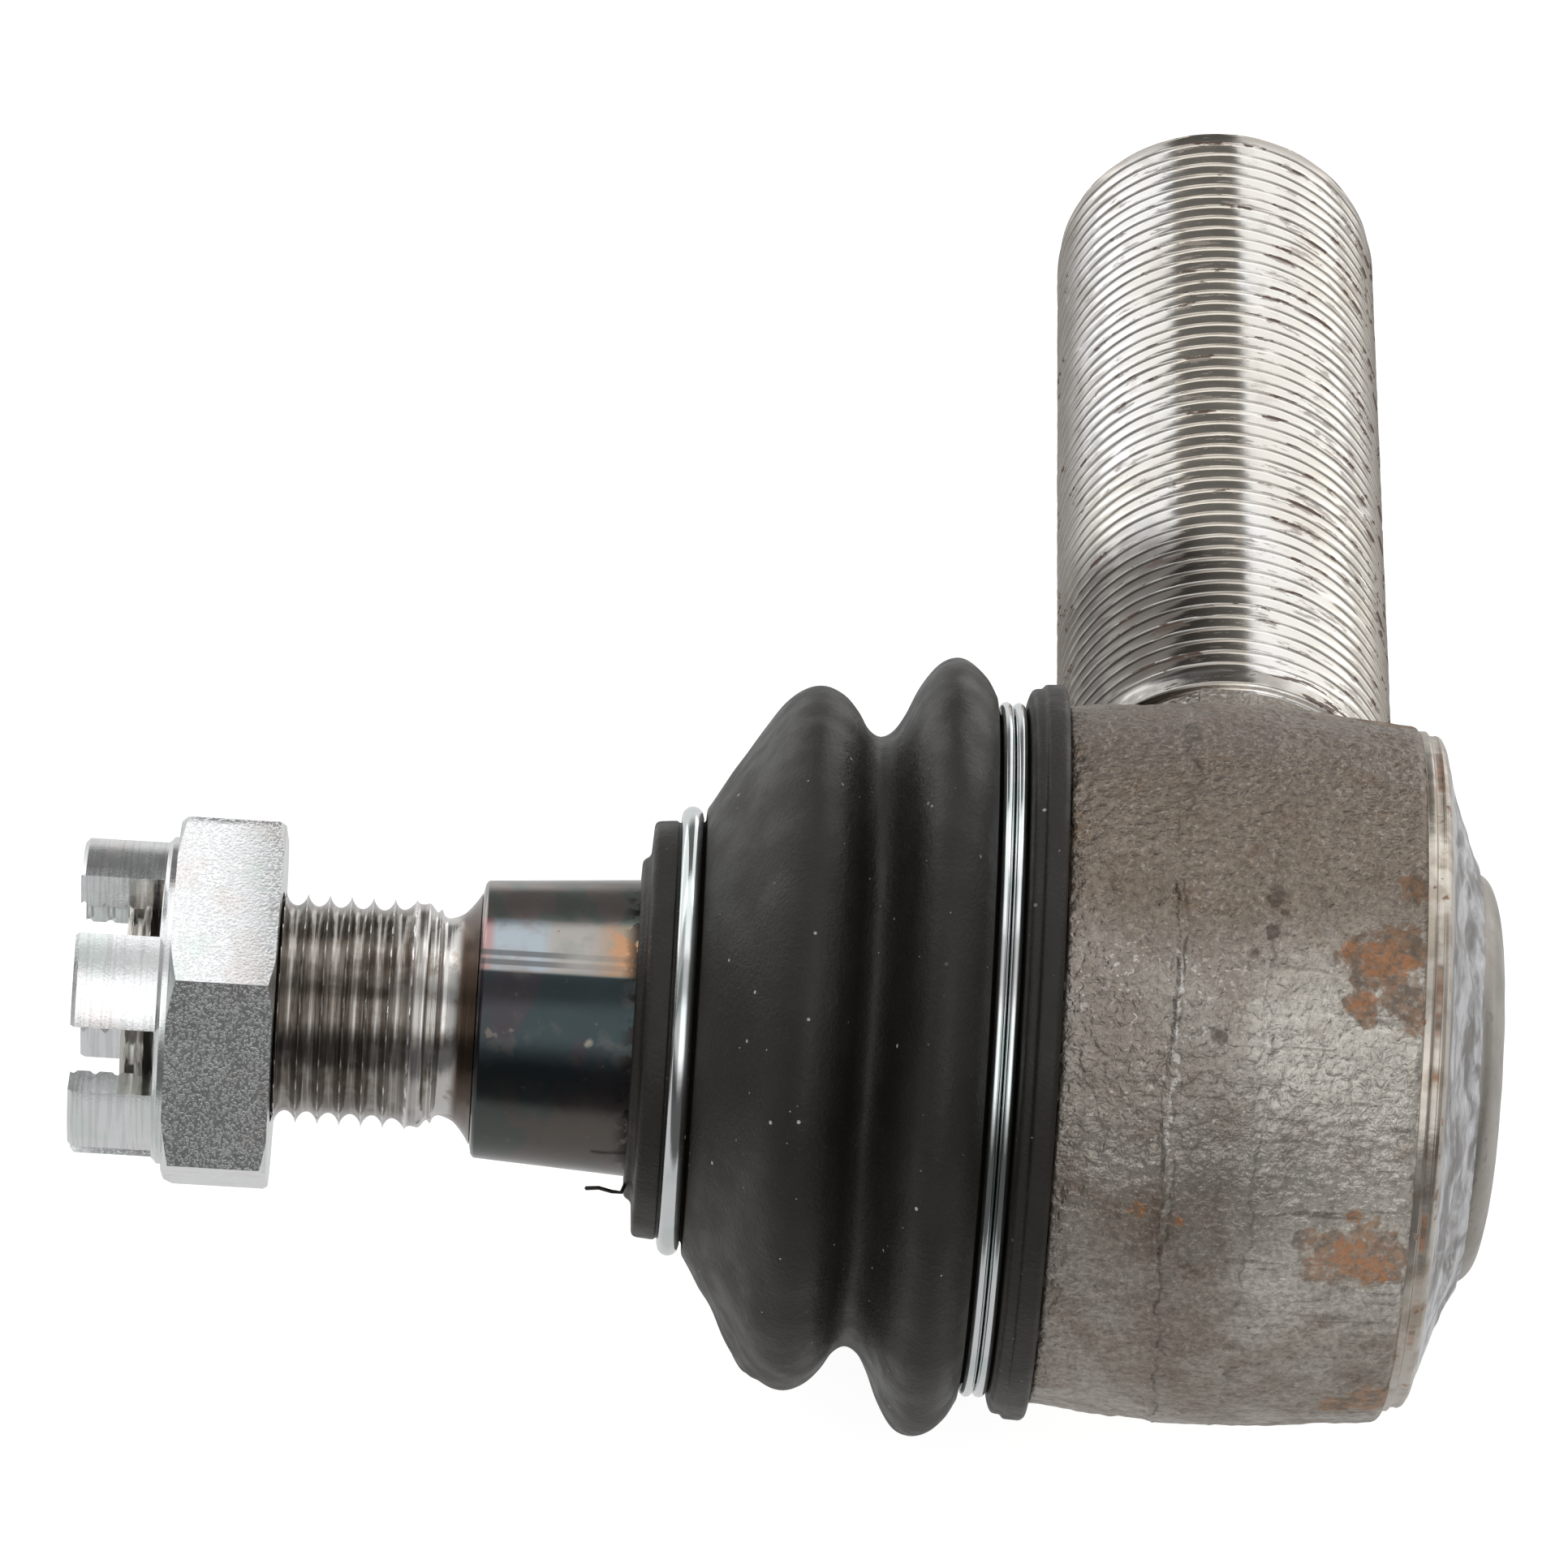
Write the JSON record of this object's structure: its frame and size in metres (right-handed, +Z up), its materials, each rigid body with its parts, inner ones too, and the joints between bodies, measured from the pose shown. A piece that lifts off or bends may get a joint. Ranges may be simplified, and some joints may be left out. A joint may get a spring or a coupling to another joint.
{
  "type": "tie rod end",
  "caption": "Steering tie rod end: a forged housing with a threaded shank, and a tapered ball stud with boot and castle nut that swings and turns in it.",
  "frame": {"origin": "on the ball stud's axis at the gauge plane of its taper, where the taper is 20 mm across; the ball's centre is at X 44.5 mm", "axes": "the part lies on its side: -X along the stud towards the nut, +Y along the threaded shank towards its free end, +Z up"},
  "size_m": [0.0978, 0.1308, 0.0536],
  "materials": {
    "forged_steel": "forged skin with light rust, grey-brown",
    "machined_steel": "bright machined thread",
    "stud_steel": "ground, with heat-tint bands on the taper",
    "zinc_nut": "bright zinc plate",
    "boot_rubber": "matt, with dust",
    "ring_wire": "bright spring wire",
    "cover_steel": "pressed sheet, satin",
    "spring_steel": "oil-blacked",
    "bearing_polymer": "smooth moulded, cream",
    "seal_rubber": "matt"
  },
  "bodies": {
    "rod_side": {"housing": "forged_steel", "front_bearing": "bearing_polymer", "cup_spring": "spring_steel", "cover_plate": "cover_steel", "cover_seal": "seal_rubber", "dust_boot": "boot_rubber", "boot_base_clip": "ring_wire"},
    "seat": {"pressure_seat": "bearing_polymer"},
    "boot_neck": {"boot_neck_clip": "ring_wire", "boot_neck_bush": "bearing_polymer"},
    "stud": {"ball_stud": "stud_steel"},
    "nut": {"castle_nut": "zinc_nut"}
  },
  "joints": [
    {"name": "stud_direction", "type": "hinge", "parent": "rod_side", "child": "seat", "pos_m": [0.0445, 0, 0], "axis": [1, 0, 0], "continuous": true},
    {"name": "stud_tilt", "type": "hinge", "parent": "seat", "child": "boot_neck", "pos_m": [0.0445, 0, 0], "axis": [0, 0, 1], "range_deg": [-22, 22], "deforming": ["dust_boot"]},
    {"name": "stud_spin", "type": "hinge", "parent": "boot_neck", "child": "stud", "pos_m": [0.0445, 0, 0], "axis": [1, 0, 0], "continuous": true},
    {"name": "nut_travel", "type": "slide", "parent": "stud", "child": "nut", "axis": [-1, 0, 0], "range_m": [-0.0105, 0.009]}
  ]
}
